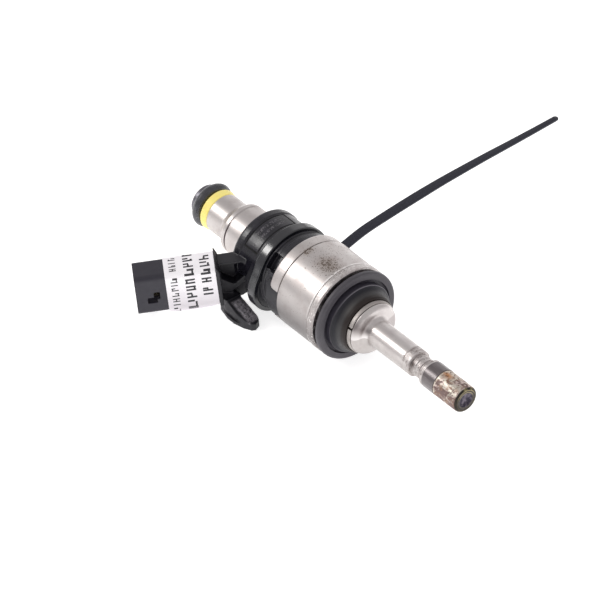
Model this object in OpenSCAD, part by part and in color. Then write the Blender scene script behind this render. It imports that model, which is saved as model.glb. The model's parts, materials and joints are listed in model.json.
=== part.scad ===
// Gasoline direct-injection fuel injector, lying on its side.
// The injector axis is X, with the spray tip towards +X. +Z is up.
// The origin is on the axis, at the middle of the combustion seal.
// Places along the axis are distances back from the spray tip.

/* [Axis] */
// Distance from the origin to the end of the spray tip
tip_x = 9.2; // [8.5:0.1:10]
// Distance from the spray tip to the end of the fuel inlet
inlet_end = 87.5; // [87:0.1:89]

/* [Fuel inlet] */
// Outside radius of the inlet rim
rim_r = 3.65; // [3.5:0.05:3.9]
// Outside radius of the inlet stem
stem_r = 4.5; // [4.4:0.05:4.6]
// Radius of the seal groove's floor
groove_r = 2.65; // [2.5:0.05:2.7]
// Radius of the fuel bore behind the inlet
fuel_r = 1.7; // [1.6:0.05:1.8]
// Distance to the middle of the O-ring
oring_at = 84.7; // [84.6:0.05:84.8]
// Radius of the O-ring's section
oring_section = 1.22; // [1.1:0.01:1.23]
// Distance to the rear of the backup ring
backup_rear = 83.0; // [82.8:0.1:83.2]
// Distance to the front of the backup ring
backup_front = 81.1; // [81:0.1:81.3]
// Outside radius of the collar behind the stem
collar_r = 5.87; // [5.8:0.01:5.9]
// Distance to the rear of the collar
collar_rear = 76.0; // [75.6:0.1:76.4]

/* [Moulded body] */
// Distance to the rear of the moulded flange
mould_rear = 67.6; // [67:0.1:68]
// Radius of the moulded flange
mould_r = 8.75; // [8.7:0.05:8.8]
// Radius of the panel between the flange and the tie
panel_r = 8.55; // [8.5:0.05:8.6]
// Distance to the rear of the shelf in front of the tie
shelf_rear = 57.3; // [57.2:0.1:57.4]
// Radius of the shelf's front lip
lip_r = 9.4; // [9.3:0.05:9.5]

/* [Connector] */
// Distance from the tip to where the connector's axis meets the injector's
connector_at = 57.9; // [57.5:0.1:58.3]
// Turn of the connector about Z, from +X
connector_turn = -124.1; // [-126:0.1:-122]
// Dip of the connector below the horizontal
connector_dip = 6.3; // [5:0.1:8]
// Distance out to the connector's open end
connector_end = 33.5; // [33:0.1:34]
// Width of the connector shell
connector_w = 6.5; // [6.3:0.1:6.7]
// Height of the connector shell
connector_h = 9.8; // [9.6:0.1:10]
// Distance out to the shoulder behind the paper label
shoulder_at = 16.1; // [15.9:0.1:16.3]
// Distance out to the outer edge of the paper label
label_end = 26.9; // [26.5:0.1:27.3]

/* [Solenoid] */
// Radius of the main housing
housing_r = 10.35; // [10.3:0.05:10.4]
// Radius of the cap band
band_r = 10.3; // [10.25:0.05:10.35]
// Distance to the rear of the cap band
band_rear = 53.3; // [53.2:0.1:53.4]
// Distance to the rear of the main housing
housing_rear = 50.4; // [50.2:0.1:50.6]
// Distance to the front of the main housing
housing_front = 38.45; // [38.4:0.05:38.5]
// Inside radius of the housing
housing_in = 8.8; // [8.7:0.05:8.8]

/* [Support ring] */
// Outside radius of the support ring
support_r = 10.45; // [10.4:0.05:10.5]
// Distance to the rear of the support ring
support_rear = 37.9; // [37.7:0.1:38]
// Distance to the seat face of the support ring
seat_at = 36.2; // [36.1:0.1:36.3]

/* [Valve] */
// Radius of the valve body's neck under the support ring
neck_r = 5.4; // [5.35:0.05:5.45]
// Radius of the dome's rim
dome_r = 6.0; // [5.95:0.05:6.05]
// Distance to the dome's rim
dome_at = 31.1; // [31:0.1:31.2]
// Radius of the nozzle tube
tube_r = 3.03; // [3:0.01:3.06]
// Distance to the front end of the nozzle tube
tube_front = 15.5; // [15.3:0.1:15.7]
// Radius of the combustion seal
seal_r = 3.15; // [3.12:0.01:3.2]
// Distance to the rear of the combustion seal
seal_rear = 11.05; // [11:0.05:11.1]
// Distance to the front of the combustion seal
seal_front = 7.4; // [7.35:0.05:7.45]
// Radius of the spray tip
spray_r = 3.1; // [3.05:0.01:3.11]
// Radius of the needle
needle_r = 0.95; // [0.9:0.01:1]
// Radius of the valve ball
ball_r = 1.3; // [1.25:0.01:1.35]
// Lift of the needle
needle_lift = 0.08; // [0.06:0.01:0.08]
// Travel of the armature
armature_lift = 0.12; // [0.09:0.01:0.12]

/* [Cable tie] */
// Width of the tie's strap round the body
tie_w = 2.3; // [2.2:0.1:2.4]
// Thickness of the tie's strap
tie_t = 1.0; // [0.9:0.05:1.1]
// Distance to the middle of the tie's strap
tie_at = 58.5; // [58.5:0.1:58.6]

/* [Hidden] */
round_fn = 96;
hull_fn = 32;
fit = 0.02;
pole_r = 4.2;
pole_bore = 1.9;
pole_rear = 66;
pole_front = 48;
mould_bore = collar_r + fit;
collar_front = 54.2;
armature_r = 4.15;
armature_rear = pole_front - armature_lift - 0.03;
armature_front = 41.5;
armature_cup = 4.22;
stop_r = 1.8;
stop_gap = armature_lift - needle_lift + 0.01;
stop_front = armature_rear + stop_gap;
stop_rear = stop_front + 1.1;
lower_stop_rear = 40.4;
lower_stop_front = 39.6;
cup_floor = 39.2;
spring_rear = 57;
sleeve_rear = 63;
valve_tube_r = 5.2;
bobbin_in = 5.25;
bobbin_r = 8.7;
bobbin_rear = 53.4;
bobbin_front = 41.6;
flange_t = 0.8;
winding_in = 5.95;
winding_r = 8.25;
winding_turns = 20;
valve_bore = 1.95;
ball_at = 2.6;
seat_gap = 0.02;
seat_shift = ball_at - (ball_r + seat_gap) * sqrt(2);
sac_r = 0.45;
spray_holes = 6;
neck_front_r = 2.45;
snap_rear = 32.2;
snap_r = 6.2;
hub_r = 6.75;
connector_fillet = 1.1;
shell_wall = 0.9;
socket_floor = 23.5;
blade_w = 1.5;
blade_t = 0.63;
blade_step = 1.8;
blade_end = 31.5;
leg_y = -2.9;
leg_t = 0.5;
leg_w = 0.8;
leg_turn_at = 10.6;
arm_face = 0.3;
arm_back = -3.1;
saddle_turn = 208;
saddle_out = 4.4;
saddle_rear = 61.6;
saddle_drop = 2.65;
label_t = 0.15;
band_gap = 187.5;
band_gap_half = 3.77;
corner_r = 1.3;
notch_mid = 138.5;
notch_width = 25;
panel_mid = 105;
panel_width = 80;
lug_low = -10.4;
lug_slope = 17;
lug_top_at = [62.4, -12.4, -6.9];
lug_foot = [[66.2, -12.7], [63, -13.5], [60.8, -13.6], [58.2, -13.0], [56.4, -12.1], [56.0, -11.3],
    [56.6, -9.9], [57.6, -9.5], [62, -9.4], [66.2, -9.4]];
lug_brow = [[66.3, -12.5], [60, -12.9], [57.6, -12.6], [56.6, -11.9], [56.4, -11.0], [57.2, -9.9],
    [58.4, -9.6], [62, -9.5], [66.3, -9.5]];
head_z = -3.1;
tail_points = [[12.4, -3.0], [15.5, -2.1], [18.4, -1.2], [21.7, -0.5], [28, 0.35], [34.6, 1.1], [41, 1.7],
    [47.6, 2.1], [54, 2.4], [60.6, 2.6], [67, 2.85], [73.3, 3.15]];
tail_base_w = 2.9;
tail_tip_w = 1.5;
tail_t = 0.6;

// Quarter arc from angle a0 to a1 about [r, d], as profile points.
function arc(r, d, radius, a0, a1, steps = 8) =
    [for (i = [0:steps]) let (a = a0 + (a1 - a0) * i / steps) [r + radius * cos(a), d + radius * sin(a)]];

// Solid of revolution about the injector axis. Each point is [radius, distance back from the tip].
module turned(points) {
    translate([tip_x, 0, 0]) rotate([0, 90, 0]) rotate_extrude($fn = round_fn)
        polygon([for (p = points) [p[0], -p[1]]]);
}

// Straight tube between two radii and two distances.
module sleeve(r_in, r_out, front, rear) {
    turned([[r_in, front], [r_out, front], [r_out, rear], [r_in, rear]]);
}

// Wedge about the axis, centred on a polar angle measured from +Y towards +Z.
module wedge(mid, width, radius, front, rear) {
    translate([tip_x - rear, 0, 0]) rotate([90, 0, 90]) linear_extrude(rear - front)
        polygon(concat([[0, 0]], [for (i = [0:6])
            let (a = mid + width * (i / 6 - 0.5)) radius * [cos(a), sin(a)]]));
}

// Box from one corner to the opposite one, with X given as distances back from the tip.
module block(rear, front, y0, y1, z0, z1) {
    translate([tip_x - rear, y0, z0]) cube([rear - front, y1 - y0, z1 - z0]);
}

// Places children in the connector's frame: X outwards, Z up across the shell.
module in_connector() {
    translate([tip_x - connector_at, 0, 0]) rotate([0, connector_dip, connector_turn]) children();
}

// Bar along X with rounded long edges.
module rounded_bar(x0, x1, width, height, radius) {
    hull() for (y = [-1, 1], z = [-1, 1])
        translate([x0, y * (width / 2 - radius), z * (height / 2 - radius)])
            rotate([0, 90, 0]) cylinder(r = radius, h = x1 - x0, $fn = hull_fn);
}

// Coil spring round the injector axis, with closed ends.
module coil_spring(radius, wire, front, rear, turns, per_turn = 16, sides = 8) {
    rings = turns * per_turn;
    span = rear - front - wire;
    // Share of the height reached at turn t: the end turns lie flat.
    function climb(t) = t < 0.75 ? 0 : t > turns - 0.75 ? 1 : (t - 0.75) / (turns - 1.5);
    points = [for (i = [0:rings]) let (t = i / per_turn, a = 360 * t, d = front + wire / 2 + span * climb(t))
        for (k = [0:sides - 1]) let (b = 360 * k / sides, r = radius + wire / 2 * cos(b))
            [tip_x - d - wire / 2 * sin(b), r * cos(a), r * sin(a)]];
    walls = [for (i = [0:rings - 1], k = [0:sides - 1]) let (n = (k + 1) % sides)
        [i * sides + k, i * sides + n, (i + 1) * sides + n, (i + 1) * sides + k]];
    first = [for (k = [sides - 1:-1:0]) k];
    last = [for (k = [0:sides - 1]) rings * sides + k];
    polyhedron(points, concat([first], walls, [last]));
}

module inlet_tube() color("#b8b4b0")
    turned(concat(
        [[fuel_r, inlet_end - 0.5], [fuel_r + 0.4, inlet_end]],
        arc(rim_r - 0.5, inlet_end - 0.5, 0.5, 90, 0),
        [[rim_r, oring_at + oring_section + 0.05], [groove_r, oring_at + oring_section + 0.05],
         [groove_r, backup_front], [stem_r, backup_front], [stem_r, collar_rear + 0.4],
         [stem_r + 0.15, collar_rear], [collar_r - 0.25, collar_rear - 1.1],
         [collar_r, collar_rear - 1.5], [collar_r, 73.65], [collar_r - 0.15, 73.55],
         [collar_r - 0.15, 73.35], [collar_r, 73.25], [collar_r, collar_front],
         [pole_r + fit, collar_front], [pole_r + fit, pole_rear + fit],
         [2.2, pole_rear + fit], [2.2, 77], [fuel_r, 77.5]]));

module inlet_oring() color("#202024")
    translate([tip_x - oring_at, 0, 0]) rotate([0, 90, 0]) rotate_extrude($fn = round_fn)
        translate([groove_r + oring_section + fit, 0]) circle(r = oring_section, $fn = 48);

module backup_ring() color("#f4d860")
    turned(concat([[groove_r + fit, backup_front + fit], [stem_r - 0.1, backup_front + fit]],
        [[stem_r + 0.02, backup_front + 0.15], [stem_r + 0.25, backup_rear - 0.25],
         [stem_r + 0.1, backup_rear], [groove_r + fit, backup_rear]]));

module inlet_strainer() color("#8f8a80") difference() {
    union() {
        sleeve(1.1, fuel_r - fit, 85.6, 86.6);
        turned([[0.01, 79.0], [0.9, 79.0], [1.3, 79.6], [1.3, 85.6], [1.1, 85.6], [1.1, 79.7],
            [0.8, 79.2], [0.01, 79.2]]);
    }
    for (side = [0:3], row = [0:3])
        translate([tip_x - 80.5 - 1.3 * row, 0, 0]) rotate([90 * side + 45, 0, 0])
            cylinder(r = 0.35, h = 3, $fn = 24);
}

module adjusting_sleeve() color("#c9c5be") difference() {
    sleeve(1.1, pole_bore - fit, spring_rear, sleeve_rear);
    block(sleeve_rear + 1, spring_rear - 1, -0.2, 0.2, 0, 3);
}

module closing_spring() color("#9b9894")
    coil_spring(1.45, 0.5, stop_rear + 0.03, spring_rear - 0.03, 8);

module pole_core() color("#a8a49e")
    turned([[pole_bore, pole_front], [pole_r - 0.2, pole_front], [pole_r, pole_front + 0.2],
        [pole_r, pole_rear], [pole_bore + 0.4, pole_rear], [pole_bore, pole_rear - 0.4]]);

module spacer_ring() color("#d0c8a8")
    sleeve(pole_r + fit, valve_tube_r, 46.6, 50.0);

module coil_bobbin() color("#3a3a3f")
    turned([[bobbin_in, bobbin_front], [bobbin_r, bobbin_front], [bobbin_r, bobbin_front + flange_t],
        [winding_in - fit, bobbin_front + flange_t], [winding_in - fit, bobbin_rear - flange_t],
        [bobbin_r, bobbin_rear - flange_t], [bobbin_r, bobbin_rear], [bobbin_in, bobbin_rear]]);

module coil_winding() color("#b8703a") {
    front = bobbin_front + flange_t + fit;
    pitch = (bobbin_rear - bobbin_front - 2 * flange_t - 2 * fit) / winding_turns;
    turned(concat([[winding_in, front + winding_turns * pitch], [winding_in, front]],
        [for (i = [0:winding_turns - 1], s = [0:3])
            [winding_r + 0.12 * sin(60 * s), front + pitch * (i + s / 3)]]));
}

// Contact blade, with its leg back to the coil.
module terminal(z) {
    in_connector() {
        translate([18, -blade_t / 2, z - blade_w / 2]) cube([blade_end - 19, blade_t, blade_w]);
        translate([blade_end - 1, 0, z]) rotate([90, 0, 0]) linear_extrude(blade_t, center = true)
            polygon([[0, -blade_w / 2], [0.6, -blade_w / 2], [1, -blade_w / 4], [1, blade_w / 4],
                [0.6, blade_w / 2], [0, blade_w / 2]]);
        translate([17.4, leg_y, z - leg_w / 2]) cube([0.7, blade_t / 2 - leg_y, leg_w]);
        translate([leg_turn_at - 0.4, leg_y, z - leg_w / 2]) cube([7.3, leg_t, leg_w]);
    }
    run_z = z * cos(connector_dip) - leg_turn_at * sin(connector_dip);
    block(66.1, bobbin_rear + fit, -7.5, -7.5 + leg_t, run_z - leg_w / 2, run_z + leg_w / 2);
}

module terminal_upper() color("#c8b070") terminal(blade_step);
module terminal_lower() color("#c8b070") terminal(-blade_step);

// Outline of the gap in the cap band, seen along the connector: X across, Y back along the axis.
module band_gap_outline(half, front) {
    polygon(concat([[half, front], [half, band_rear - corner_r]],
        [for (i = [1:6]) let (a = 180 - 15 * i)
            [half + corner_r + corner_r * cos(a), band_rear - corner_r + corner_r * sin(a)]],
        [[half + corner_r, band_rear + 1], [-half - corner_r, band_rear + 1]],
        [for (i = [6:-1:1]) let (a = 180 - 15 * i)
            [-half - corner_r - corner_r * cos(a), band_rear - corner_r + corner_r * sin(a)]],
        [[-half, band_rear - corner_r], [-half, front]]));
}

// The gap as a solid that points out of the axis towards the connector.
module band_gap_solid(half, front, inner, outer) {
    translate([tip_x, 0, 0]) rotate([band_gap, 0, 0]) translate([0, inner, 0])
        rotate([0, 90, 90]) linear_extrude(outer - inner) rotate(90) mirror([1, 0])
            rotate(90) mirror([0, 1]) rotate(180) band_gap_outline(half, front);
}

// Section across the axis: a circle drawn out on the side where the arm is rooted.
module saddle_section(radius, swell) {
    hull() {
        circle(r = radius, $fn = round_fn);
        rotate(saddle_turn) translate([saddle_out, 0]) circle(r = swell, $fn = round_fn);
    }
}

// Loop of the tie's strap over the saddle, from one radius to another.
module strap_loop(inner, outer, front, rear) {
    translate([tip_x - rear, 0, 0]) rotate([90, 0, 90]) linear_extrude(rear - front) difference() {
        saddle_section(outer, outer - saddle_drop);
        saddle_section(inner, inner - saddle_drop);
    }
}

// Raised saddle on the barrel that the strap bears on.
module saddle() {
    translate([tip_x - saddle_rear, 0, 0]) rotate([90, 0, 90]) linear_extrude(saddle_rear - shelf_rear + 0.1)
        difference() {
            saddle_section(panel_r - 0.3, panel_r - saddle_drop);
            circle(r = mould_bore + 1, $fn = round_fn);
        }
}

// Turned part of the moulding: flange, panel, seat for the tie, groove and lip.
module mould_barrel() {
    turned(concat([[mould_bore, 53.5], [lip_r - 0.4, 53.5], [lip_r, 53.7], [lip_r, 55.3],
        [lip_r - 0.15, 55.45], [8.7, 55.5], [8.7, 56.6], [9.0, 56.7], [9.0, shelf_rear], [panel_r, shelf_rear],
        [panel_r, 65.4], [mould_r, 65.6]],
        arc(mould_r - 0.7, mould_rear - 0.7, 0.7, 0, 90, 6),
        [[mould_bore + 0.3, mould_rear], [mould_bore, mould_rear - 0.3]]));
}

// Thin frame line round the panel.
module panel_frame() {
    difference() {
        intersection() {
            sleeve(panel_r - 0.12, panel_r + 1, 60.9, 65.2);
            wedge(panel_mid, panel_width, 12, 60.9, 65.2);
        }
        intersection() {
            sleeve(panel_r - 1, panel_r + 2, 61.15, 64.9);
            wedge(panel_mid, panel_width - 4, 14, 61.15, 64.9);
        }
    }
}

// Flat plate across the connector's side, drawn as an outline of [out, up] points.
module side_plate(face, back, outline) {
    translate([0, face, 0]) rotate([90, 0, 0]) linear_extrude(face - back) polygon(outline);
}

// Arm from the barrel to the connector: a deep pocket over a slanted rib, with a lower wall behind.
module arm() {
    in_connector() {
        difference() {
            side_plate(arm_face, arm_back, [[6.2, 3.7], [15.6, 3.7], [15.6, -4.4], [13.3, -4.2],
                [9.5, -1.3], [6.2, -1.3]]);
            side_plate(arm_face + 1, leg_y + leg_t + 0.2, [[9.9, 2.6], [10.4, 3.1], [15.1, 3.1], [15.1, -0.5],
                [12.8, -2.2], [12.4, -2.2], [9.9, -0.2]]);
        }
        side_plate(-2.2, arm_back + 0.1, [[6.4, -0.5], [15.4, -0.5], [15.4, -8.6], [11.0, -7.6],
            [9.8, -6.9], [6.4, -4.5]]);
        side_plate(arm_face - 0.15, arm_back + 0.2, [[15.3, -3.9], [15.3, -8.4], [13.4, -8.0],
            [13.0, -5.0], [12.9, -3.9]]);
        translate([shoulder_at, 0, 0]) rotate([90, 0, 0]) linear_extrude(connector_w + 0.6, center = true)
            polygon([[0, -connector_h / 2 - 0.2], [0, connector_h / 2 + 0.35], [-0.25, connector_h / 2 + 0.2],
                [-0.8, connector_h / 2 - 1.2], [-0.8, -connector_h / 2 - 0.2]]);
    }
}

// Thin plate seen from above, given as [distance back, y] points.
module plan_plate(outline, low, thick) {
    translate([tip_x, 0, low]) linear_extrude(thick)
        polygon([for (p = outline) [-p[0], p[1]]]);
}

// Places children on the lug's sloping top, at a point of its outer edge: X towards the nose, Z up.
module on_lug_top() {
    translate([tip_x - lug_top_at[0], lug_top_at[1], lug_top_at[2]]) rotate([0, lug_slope, 0]) children();
}

// Hanging lug: a tapered bar with a blunt nose, a sloping top, a raised pad and a sunk outer face.
module lug() {
    difference() {
        hull() {
            plan_plate(lug_foot, lug_low, 0.4);
            plan_plate(lug_brow, -5.2, 0.2);
        }
        on_lug_top() translate([-12, -4, 0]) cube([24, 12, 8]);
        block(64.4, 59, -14.6, -13.0, lug_low + 0.8, -8.8);
    }
    on_lug_top() translate([-0.4, 0.4, -0.5]) cube([5.0, 1.9, 0.75]);
    block(65.4, 63.6, -13.0, -9.2, lug_low + 0.3, -6.3);
}

// Band of plastic that runs from the arm's root through the gap in the cap band.
module gap_filler() {
    intersection() {
        sleeve(housing_in + 0.03, band_r - 0.15, housing_rear + 0.05, 60);
        band_gap_solid(band_gap_half - 0.03, housing_rear - 1, 2, 12);
        block(60, housing_rear, -12, 0, -8, 6);
    }
}

// Recesses that go through the arm, the shell and the barrel.
module mould_hollows() {
    in_connector() {
        rounded_bar(socket_floor, connector_end + 1, connector_w - 2 * shell_wall,
            connector_h - 2 * shell_wall, 0.6);
        translate([29, connector_w / 2 - shell_wall - 0.5, -2]) cube([2.1, 2, 1.4]);
        translate([28.4, connector_w / 2 - shell_wall - 0.5, -1.1]) cube([1.3, 2, 1.8]);
    }
    intersection() {
        sleeve(7.4, 12, 53.95, 56.9);
        wedge(notch_mid, notch_width, 12, 53.95, 56.9);
    }
    panel_frame();
}

module moulded_body() color("#2b2b30") difference() {
    union() {
        difference() {
            union() {
                arm();
                in_connector() rounded_bar(shoulder_at - 0.3, connector_end, connector_w, connector_h,
                    connector_fillet);
            }
            turned([[0, 50], [mould_bore + 1, 50], [mould_bore + 1, 70], [0, 70]]);
        }
        mould_barrel();
        saddle();
        lug();
        gap_filler();
    }
    mould_hollows();
    terminal(blade_step);
    terminal(-blade_step);
}

module paper_label() color("white") in_connector() difference() {
    rounded_bar(shoulder_at + 0.05, label_end, connector_w + 0.04 + 2 * label_t,
        connector_h + 0.04 + 2 * label_t, connector_fillet + label_t);
    rounded_bar(shoulder_at - 1, label_end + 1, connector_w + 0.04, connector_h + 0.04, connector_fillet);
}

// Tail of the tie: a flat strap that thins towards its point.
module tie_tail() {
    last = len(tail_points) - 1;
    // Half width of the strap at point i.
    function half_w(i) = i == last ? 0.25 : (tail_base_w + (tail_tip_w - tail_base_w) * i / last) / 2;
    x = tip_x - tie_at;
    points = [for (i = [0:last])
        let (y = tail_points[i][0], z = tail_points[i][1], w = half_w(i), t = tail_t / 2)
        each [[x - w, y, z - t], [x + w, y, z - t], [x + w, y, z + t], [x - w, y, z + t]]];
    walls = [for (i = [0:last - 1], k = [0:3]) let (n = (k + 1) % 4)
        [4 * i + k, 4 * i + n, 4 * i + 4 + n, 4 * i + 4 + k]];
    polyhedron(points, concat([[3, 2, 1, 0]], walls, [[4 * last, 4 * last + 1, 4 * last + 2, 4 * last + 3]]));
}

module cable_tie() color("#18181b") {
    strap_loop(panel_r + fit, panel_r + tie_t - 0.1, tie_at - tie_w / 2, tie_at + tie_w / 2);
    strap_loop(panel_r + fit, panel_r + tie_t + 0.1, tie_at - tie_w / 2 + 0.3, tie_at + tie_w / 2 - 0.3);
    difference() {
        translate([tip_x - tie_at - 2, 8, head_z - 2.3]) cube([4, 5.4, 4.4]);
        sleeve(0.01, panel_r + tie_t - 0.2, tie_at - 4, tie_at + 4);
        translate([tip_x - tie_at - 1.25, 12.6, head_z - 0.9]) cube([2.5, 1, 1.6]);
    }
    tie_tail();
}

module cap_band() color("#b5b1ac") difference() {
    turned([[housing_in, housing_rear + fit], [band_r - 0.1, housing_rear + fit], [band_r, housing_rear + 0.12],
        [band_r, band_rear - 0.25], [band_r - 0.25, band_rear], [housing_in + 0.7, band_rear],
        [housing_in, band_rear - 0.1]]);
    band_gap_solid(band_gap_half, housing_rear - 1, 2, 12);
}

module solenoid_housing() color("#b5b1ac")
    turned([[valve_tube_r + fit, housing_front], [housing_r - 0.2, housing_front],
        [housing_r + 0.12, housing_front + 0.25], [housing_r + 0.12, 40.15], [housing_r - 0.1, 40.25],
        [housing_r - 0.1, 40.4], [housing_r, 40.5],
        [housing_r, housing_rear - 0.1], [housing_r - 0.1, housing_rear], [housing_in, housing_rear],
        [housing_in, 41.2], [valve_tube_r + fit, 41.2]]);

module valve_body() color("#c4c0bb")
    turned(concat([[armature_cup, 46.6 - fit], [valve_tube_r, 46.6 - fit], [valve_tube_r, 38.3],
        [neck_r, 38.2], [neck_r, snap_rear], [neck_r - 0.6, snap_rear], [neck_r - 0.6, dome_at],
        [dome_r - 0.15, dome_at], [dome_r, dome_at - 0.15]],
        [for (i = [1:7]) let (a = 90 * i / 8) [4.1 + (dome_r - 4.1) * cos(a), dome_at - 0.15 - 1.15 * sin(a)]],
        arc(tube_r + 1.1, 28.7, 1.1, 90, 180),
        [[tube_r, tube_front + 0.2], [tube_r - 0.2, tube_front], [neck_front_r, tube_front],
         [neck_front_r, 14.3], [neck_front_r - 0.22, 14.2], [neck_front_r - 0.22, 13.7],
         [neck_front_r, 13.6], [neck_front_r, 12.95], [neck_front_r - 0.15, 12.85], [neck_front_r - 0.15, 12.6],
         [neck_front_r, 12.5], [neck_front_r, 12.3], [spray_r - 0.2, 12.0], [spray_r, 11.8],
         [spray_r, seal_rear + fit], [2.5, seal_rear + fit], [2.5, seal_front + fit],
         [valve_bore, seal_front + fit], [valve_bore, cup_floor - 0.6], [valve_bore + 0.6, cup_floor],
         [armature_cup, cup_floor]]));

module armature() color("#9c9892") difference() {
    turned([[needle_r + 0.03, armature_front], [armature_r - 0.3, armature_front],
        [armature_r, armature_front + 0.3], [armature_r, armature_rear - 0.2],
        [armature_r - 0.2, armature_rear], [needle_r + 0.03, armature_rear]]);
    for (i = [0:3]) rotate([90 * i + 45, 0, 0])
        translate([tip_x - armature_rear - 1, 2.9, 0]) rotate([0, 90, 0])
            cylinder(r = 0.45, h = armature_rear - armature_front + 2, $fn = 32);
}

module armature_spring() color("#9b9894")
    coil_spring(1.45, 0.22, lower_stop_rear + 0.02, armature_front - 0.02, 3.5);

module needle() color("#d4d2cf")
    turned([[0, ball_at + ball_r - 0.1], [needle_r - 0.3, ball_at + ball_r - 0.1],
        [needle_r, ball_at + ball_r + 0.4], [needle_r, stop_rear - 0.1], [needle_r - 0.1, stop_rear],
        [0, stop_rear]]);

module needle_stop() color("#c2bfba")
    turned([[needle_r + 0.005, stop_front], [stop_r - 0.1, stop_front], [stop_r, stop_front + 0.1],
        [stop_r, stop_rear - 0.15], [stop_r - 0.15, stop_rear], [needle_r + 0.005, stop_rear]]);

module lower_stop() color("#c2bfba")
    turned([[needle_r + 0.005, lower_stop_front], [stop_r, lower_stop_front],
        [stop_r, lower_stop_rear], [needle_r + 0.005, lower_stop_rear]]);

module valve_ball() color("#dedcd9") difference() {
    translate([tip_x - ball_at, 0, 0]) sphere(r = ball_r, $fn = 64);
    translate([tip_x - ball_at - ball_r - 1 + 0.1, -2, -2]) cube([1, 4, 4]);
}

module needle_guide() color("#b0aca6") difference() {
    sleeve(needle_r + 0.03, valve_bore - fit, 5.4, 6.4);
    for (i = [0:3]) rotate([90 * i, 0, 0]) translate([tip_x - 7, 1.42, 0])
        rotate([0, 90, 0]) cylinder(r = 0.26, h = 2, $fn = 24);
}

// Spray tip: a cup with a conical seat, a sunk face and slanted spray holes.
module valve_seat() color("#8a6a52") difference() {
    turned(concat([[0, 0.55], [1.2, 0.55], [1.75, 0.05], [2.2, 0]],
        arc(spray_r - 0.75, 0.75, 0.75, -90, 0),
        [[spray_r, seal_front - 0.05], [spray_r - 0.05, seal_front], [valve_bore, seal_front],
         [valve_bore, valve_bore + seat_shift], [sac_r, sac_r + seat_shift], [0, sac_r + seat_shift]]));
    for (i = [0:spray_holes - 1]) rotate([360 / spray_holes * i, 0, 0])
        translate([tip_x - 1.3, 0, 0.15]) rotate([0, 90 - 32, 0]) cylinder(r = 0.12, h = 2.4, $fn = 16);
}

module combustion_seal() color("#5b5654")
    turned([[2.5 + fit, seal_front + fit], [seal_r - 0.05, seal_front + fit],
        [seal_r, seal_front + 0.07], [seal_r, seal_rear - 0.05], [seal_r - 0.05, seal_rear],
        [2.5 + fit, seal_rear]]);

module support_ring() color("#55525a")
    turned(concat([[neck_r + fit, snap_rear + fit], [hub_r - 0.3, snap_rear + fit], [hub_r, 32.6],
        [hub_r + 0.2, 33.8], [7.95, 35.15], [8.1, 35.3], [8.1, 36.8], [8.85, 36.8], [8.85, seat_at]],
        [[support_r - 0.5, seat_at]], arc(support_r - 0.5, seat_at + 0.5, 0.5, -80, 0, 5),
        [[support_r, support_rear - 0.6], [support_r - 0.15, support_rear - 0.45],
         [9.4, support_rear - 0.45], [9.4, support_rear], [neck_r + fit, support_rear]]));

module snap_ring() color("#cfccc8") difference() {
    turned([[neck_r - 0.55, dome_at + fit], [snap_r - 0.1, dome_at + fit], [snap_r, dome_at + 0.15],
        [snap_r, snap_rear - 0.15], [snap_r - 0.1, snap_rear - fit], [neck_r - 0.55, snap_rear - fit]]);
    rotate([157, 0, 0]) block(34, 30, 3, 8, -0.25, 0.25);
}

inlet_tube();
inlet_oring();
backup_ring();
inlet_strainer();
adjusting_sleeve();
closing_spring();
pole_core();
spacer_ring();
coil_bobbin();
coil_winding();
terminal_upper();
terminal_lower();
moulded_body();
paper_label();
cable_tie();
cap_band();
solenoid_housing();
valve_body();
armature();
armature_spring();
needle();
needle_stop();
lower_stop();
valve_ball();
needle_guide();
valve_seat();
combustion_seal();
support_ring();
snap_ring();
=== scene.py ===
import json
import math
import random

import bmesh
import bpy
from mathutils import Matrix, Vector, noise


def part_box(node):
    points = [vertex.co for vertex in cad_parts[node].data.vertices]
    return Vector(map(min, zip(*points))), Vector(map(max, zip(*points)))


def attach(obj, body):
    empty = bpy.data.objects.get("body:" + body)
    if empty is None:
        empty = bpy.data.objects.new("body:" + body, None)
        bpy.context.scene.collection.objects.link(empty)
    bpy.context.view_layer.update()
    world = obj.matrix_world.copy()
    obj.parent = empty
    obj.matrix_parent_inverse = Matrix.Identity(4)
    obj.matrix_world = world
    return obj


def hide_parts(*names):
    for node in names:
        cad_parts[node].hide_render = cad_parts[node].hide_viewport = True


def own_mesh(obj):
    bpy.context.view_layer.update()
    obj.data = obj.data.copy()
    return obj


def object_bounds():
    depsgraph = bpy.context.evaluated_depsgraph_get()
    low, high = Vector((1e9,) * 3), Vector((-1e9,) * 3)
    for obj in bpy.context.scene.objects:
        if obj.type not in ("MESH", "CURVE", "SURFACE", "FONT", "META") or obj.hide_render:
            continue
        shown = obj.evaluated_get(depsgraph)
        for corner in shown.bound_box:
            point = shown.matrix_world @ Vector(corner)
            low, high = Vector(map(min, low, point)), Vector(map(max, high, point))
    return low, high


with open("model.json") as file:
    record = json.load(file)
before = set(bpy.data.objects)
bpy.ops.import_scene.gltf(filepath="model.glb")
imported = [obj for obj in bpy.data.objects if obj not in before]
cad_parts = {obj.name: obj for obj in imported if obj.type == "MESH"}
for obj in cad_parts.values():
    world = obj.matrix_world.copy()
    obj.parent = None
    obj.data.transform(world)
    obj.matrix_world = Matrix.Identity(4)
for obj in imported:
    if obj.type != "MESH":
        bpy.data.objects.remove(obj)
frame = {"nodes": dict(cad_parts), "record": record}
cad_low, cad_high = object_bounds()
NODES = frame["nodes"]
MM = 0.001
# The spray tip's X in millimetres. Distances back along the injector are measured from it.
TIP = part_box("valve_seat")[1].x / MM
FLOOR_Z = cad_low.z
MOUNTS = {m["name"]: m for m in frame["record"]["mounts"]}

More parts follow.
